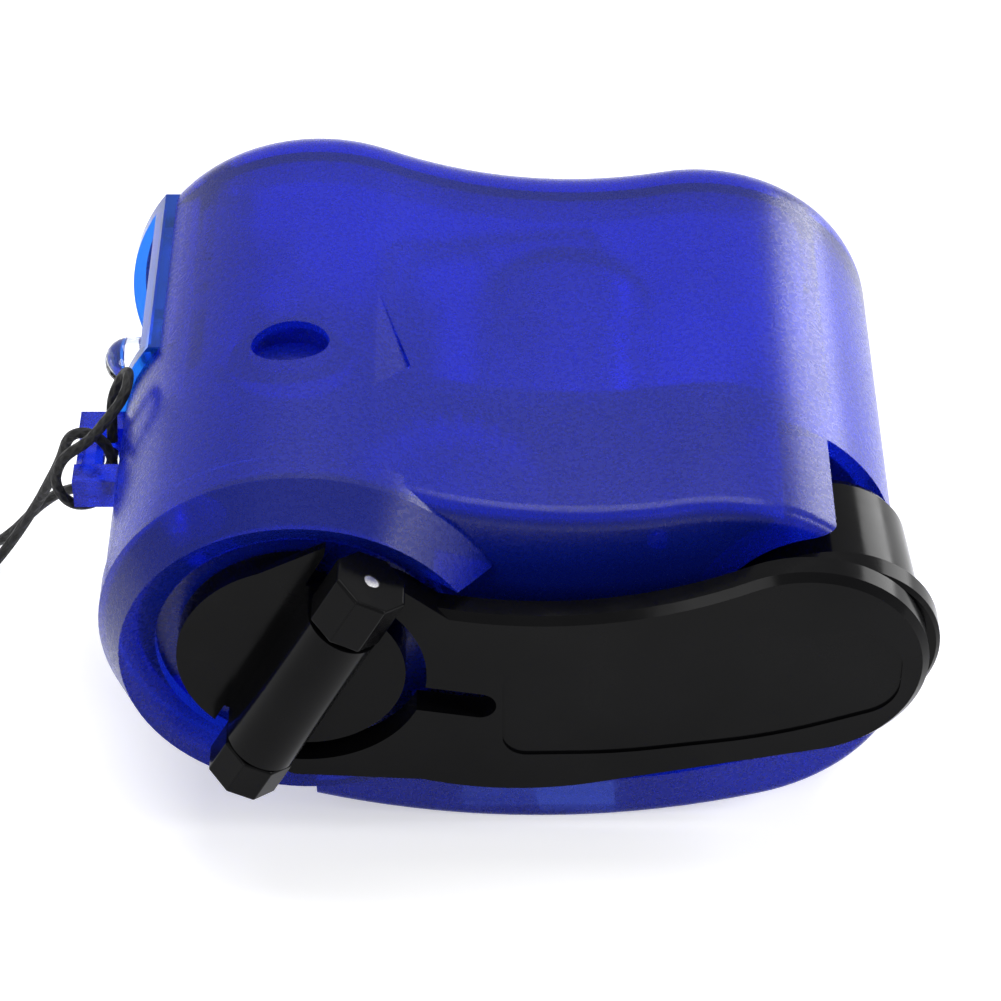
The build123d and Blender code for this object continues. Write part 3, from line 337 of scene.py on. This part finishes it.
def coil_points():
    """In on the lower layer, up in half a turn, and out on the upper layer."""
    points = []
    count = round((2 * COIL_TURNS + COIL_CLIMB) * COIL_STEPS)
    for step in range(count + 1):
        turn = step / COIL_STEPS
        climb = min(max(turn - COIL_TURNS, 0) / COIL_CLIMB, 1)
        inwards = min(turn, COIL_TURNS) - max(turn - COIL_TURNS - COIL_CLIMB, 0)
        radius = COIL_R - COIL_PITCH * inwards
        angle = math.radians(90 + 360 * turn)
        x = COIL_CENTRE[0] + radius * math.cos(angle)
        y = COIL_CENTRE[1] + radius * math.sin(angle)
        points.append((x, y, CORD_Z + COIL_PITCH * (1 - math.cos(math.pi * climb)) / 2))
    return points


def make_lanyard():
    points = STRAND_ONE + coil_points() + STRAND_TWO
    data = bpy.data.curves.new("lanyard", "CURVE")
    data.dimensions = "3D"
    data.bevel_depth = CORD_R / 1000
    data.bevel_resolution = 5
    data.resolution_u = 8
    data.use_fill_caps = True
    spline = data.splines.new("NURBS")
    spline.points.add(len(points) - 1)
    for point, place in zip(spline.points, points):
        point.co = (*at(*place), 1)
    spline.order_u = 3
    spline.use_endpoint_u = True
    cord = bpy.data.objects.new("lanyard", data)
    bpy.context.scene.collection.objects.link(cord)
    data.materials.append(BRAID)
    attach(cord, "case")
    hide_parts("lanyard_cord", "lanyard_coil")


# ---- floor, world and lamps ----

FLOOR_SIZE = 6
FLOOR_GLOW = 0.3
WORLD_LIGHT = 0.35      # what lights the object; rays that see the background get 1

# place, size in metres and power in watts
LAMPS = {
    "top_lamp": ((0.0, 0.25, 0.7), (0.7, 0.5), 5.0),
    "front_lamp": ((-0.45, -0.6, 0.45), (0.4, 0.4), 3.0),
    "rim_lamp": ((0.5, 0.45, 0.14), (0.35, 0.3), 2.6),
    "right_lamp": ((0.6, -0.15, 0.3), (0.08, 0.5), 2.5),
}
LAMP_AIM = Vector((0, 0, 0.02))

def seen_rays(tree):
    """A socket that is 1 for rays that show the background: straight, mirrored or through glass."""
    rays = tree.nodes.new("ShaderNodeLightPath")
    total = rays.outputs["Is Camera Ray"]
    for kind in ("Is Glossy Ray", "Is Transmission Ray"):
        either = tree.nodes.new("ShaderNodeMath")
        either.operation = "MAXIMUM"
        tree.links.new(total, either.inputs[0])
        tree.links.new(rays.outputs[kind], either.inputs[1])
        total = either.outputs[0]
    return total


def make_floor():
    """A white floor that keeps the shadow: the lamps light it, and a little glow lifts it to white."""
    bpy.ops.mesh.primitive_plane_add(size=FLOOR_SIZE, location=(0, 0, 0))
    floor = bpy.context.object
    floor.name = "floor"
    m = Maker("floor_white")
    m.set(Base_Color=rgb(0.93, 0.93, 0.935), Roughness=0.8, Specular_IOR_Level=0.1,
          Emission_Color=rgb(1, 1, 1))
    m.to(m.remap(seen_rays(m.tree), 0, 1, 0, FLOOR_GLOW), "Emission Strength")
    floor.data.materials.append(m.material)


def make_world():
    world = bpy.data.worlds.new("studio")
    world.use_nodes = True
    bpy.context.scene.world = world
    tree = world.node_tree
    seen = tree.nodes["Background"]
    seen.inputs["Color"].default_value = rgb(1, 1, 1)
    seen.inputs["Strength"].default_value = 1.0
    light = tree.nodes.new("ShaderNodeBackground")
    light.inputs["Color"].default_value = rgb(1, 1, 1)
    light.inputs["Strength"].default_value = WORLD_LIGHT
    mix = tree.nodes.new("ShaderNodeMixShader")
    tree.links.new(seen_rays(tree), mix.inputs["Fac"])
    tree.links.new(light.outputs["Background"], mix.inputs[1])
    tree.links.new(seen.outputs["Background"], mix.inputs[2])
    tree.links.new(mix.outputs["Shader"], tree.nodes["World Output"].inputs["Surface"])


def make_lamp(name, place, size, power):
    """A soft rectangular lamp that faces the middle of the case."""
    data = bpy.data.lights.new(name, "AREA")
    data.shape = "RECTANGLE"
    data.size = size[0]
    data.size_y = size[1]
    data.energy = power
    lamp = bpy.data.objects.new(name, data)
    lamp.location = place
    aim = LAMP_AIM - Vector(place)
    lamp.rotation_euler = aim.to_track_quat("-Z", "Y").to_euler()
    bpy.context.scene.collection.objects.link(lamp)


dress_nodes()
make_lanyard()
make_floor()
make_world()
for lamp_name, (lamp_place, lamp_size, lamp_power) in LAMPS.items():
    make_lamp(lamp_name, lamp_place, lamp_size, lamp_power)
make_camera()
